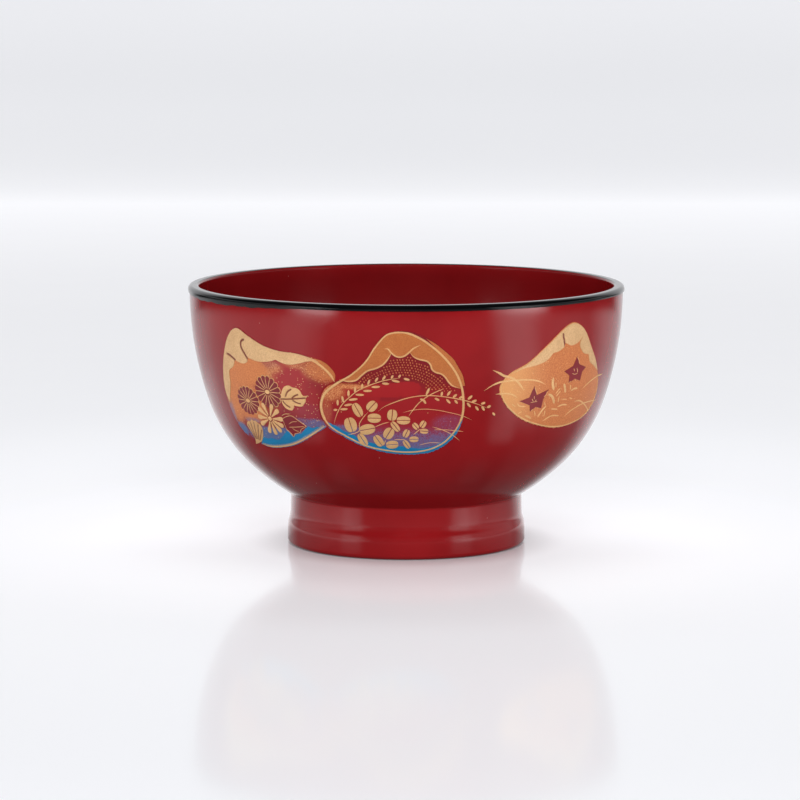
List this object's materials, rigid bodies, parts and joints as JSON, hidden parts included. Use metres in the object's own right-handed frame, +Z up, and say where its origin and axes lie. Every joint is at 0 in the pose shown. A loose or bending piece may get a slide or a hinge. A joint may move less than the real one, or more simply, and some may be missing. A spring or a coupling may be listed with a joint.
{
  "type": "lacquered soup bowl",
  "caption": "Round lacquered wooden soup bowl on a turned foot, black lip, with shell pictures in sprinkled and raised gold on the front.",
  "frame": {"origin": "on the ground, at the middle of the foot ring, under the bowl's axis", "axes": "+Z up along the bowl's turning axis, -Y towards the front, where the middle shell is, +X to the right as seen from the front"},
  "size_m": [0.118, 0.118, 0.0705],
  "materials": {
    "wood": "turned, under the lacquer",
    "red_lacquer": "deep red lacquer, polished to a gloss",
    "black_lacquer": "black lacquer, glossy",
    "dark_red_lacquer": "dark red lacquer, satin",
    "centre_powder": "orange, gold and blue powders sprinkled on red lacquer",
    "left_powder": "orange, gold and blue powders sprinkled on red lacquer",
    "right_powder": "orange and gold powders sprinkled on red lacquer",
    "raised_gold": "gold powder over raised lacquer, satin",
    "pale_gold": "pale gold powder over raised lacquer, matt"
  },
  "bodies": {
    "root": {"wood_core": "wood", "wall_lacquer": "red_lacquer", "foot_lacquer": "red_lacquer", "foot_recess_lacquer": "black_lacquer", "inner_lacquer": "red_lacquer", "rim_lacquer": "black_lacquer", "centre_shell_ground": "centre_powder", "left_shell_ground": "left_powder", "right_shell_ground": "right_powder", "left_gold_chrysanthemum": "raised_gold", "left_gold_leaf": "raised_gold", "left_gold_bud": "raised_gold", "left_red_leaf": "dark_red_lacquer", "left_red_chrysanthemums": "dark_red_lacquer", "left_gold_cap": "pale_gold", "left_gold_edge_line": "raised_gold", "centre_gold_edge_line": "raised_gold", "centre_gold_wave_line": "raised_gold", "centre_bush_clover_leaves": "raised_gold", "centre_bush_clover_stems": "raised_gold", "right_bellflowers": "dark_red_lacquer", "right_gold_cap": "pale_gold", "right_gold_edge_line": "raised_gold", "right_grass_blades": "raised_gold"}
  },
  "joints": []
}
